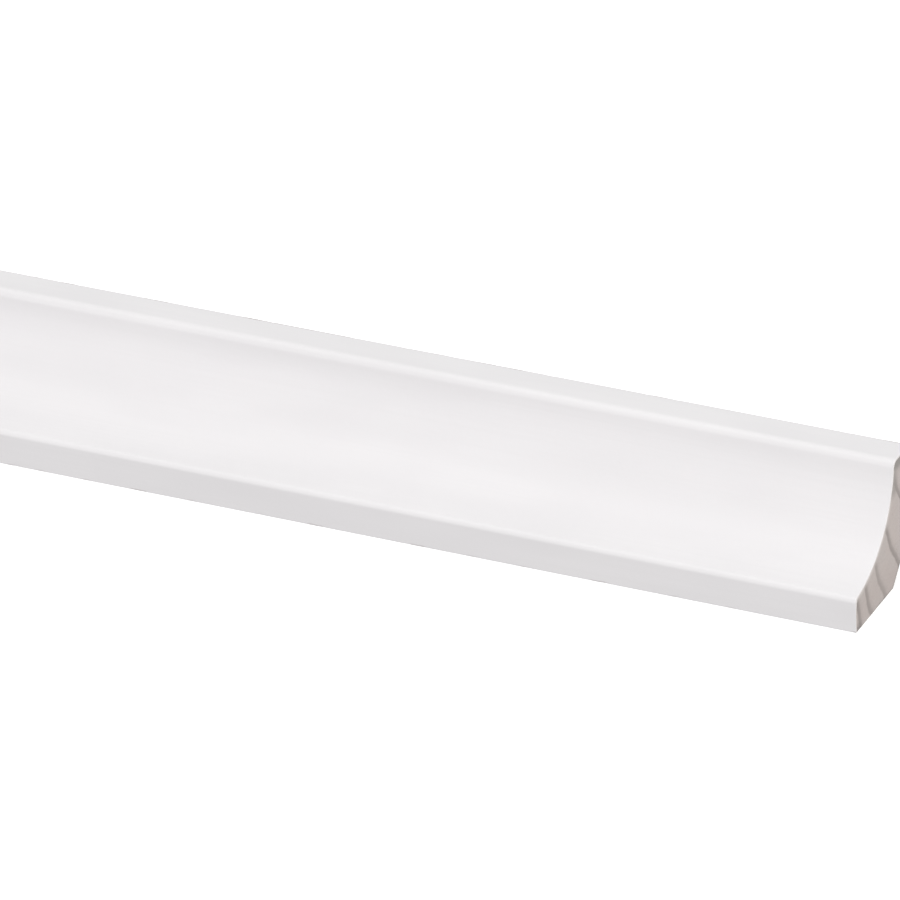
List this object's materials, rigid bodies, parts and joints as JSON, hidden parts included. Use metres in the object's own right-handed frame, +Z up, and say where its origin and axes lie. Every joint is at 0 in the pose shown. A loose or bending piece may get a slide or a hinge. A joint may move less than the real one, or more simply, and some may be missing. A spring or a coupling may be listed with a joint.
{
  "type": "cove moulding",
  "caption": "Straight length of white painted wooden cove moulding, which covers the inside corner between a wall and a ceiling.",
  "frame": {"origin": "middle of the bounding box at the height of the bottom seat", "axes": "+X along the moulding, towards the end that the picture shows; +Y to the back, towards the wall; +Z up, with the cove facing -Y and up"},
  "size_m": [0.216, 0.0292, 0.0292],
  "materials": {
    "painted_wood": "softwood under white satin paint, with bare end grain at both cuts"
  },
  "bodies": {
    "root": {"cove_moulding": "painted_wood"}
  },
  "joints": []
}
